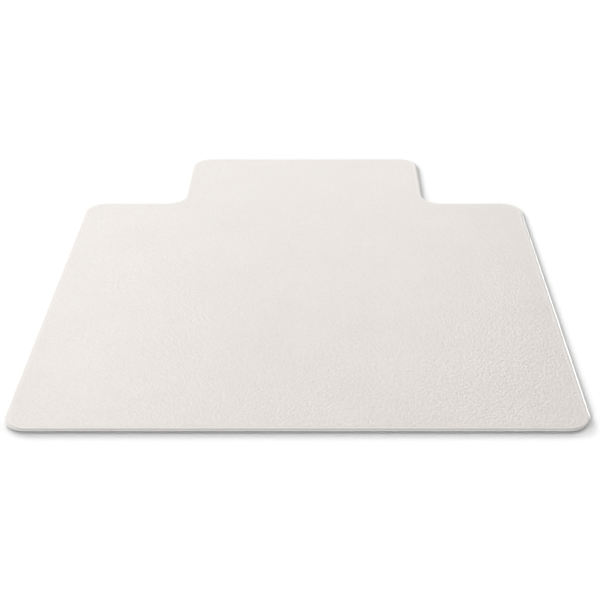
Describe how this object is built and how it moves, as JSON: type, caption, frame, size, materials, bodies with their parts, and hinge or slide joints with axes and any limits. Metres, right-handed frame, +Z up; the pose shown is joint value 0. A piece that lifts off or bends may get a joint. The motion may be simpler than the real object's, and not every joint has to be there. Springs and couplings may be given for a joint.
{
  "type": "chair mat",
  "caption": "Flexible vinyl chair mat with a desk lip, a pebbled top, a bevelled border and gripper studs underneath.",
  "frame": {"origin": "under the middle of the mat's overall rectangle, on the plane that the studs' tips stand on", "axes": "+Z up, +Y from the sitting side towards the lip, +X to the right of a person sitting on the chair and facing the desk"},
  "size_m": [1.143, 1.3462, 0.006],
  "materials": {
    "pebbled_vinyl": "translucent off-white vinyl with a fine pebbled top, satin",
    "smooth_vinyl": "translucent off-white vinyl, smooth, slightly glossy",
    "stud_vinyl": "translucent off-white vinyl, smooth"
  },
  "bodies": {
    "root": {"rolling_sheet": "pebbled_vinyl", "bevelled_border": "smooth_vinyl", "stud_bed_left": "stud_vinyl", "stud_bed_right": "stud_vinyl", "stud_bed_lip": "stud_vinyl"}
  },
  "joints": []
}
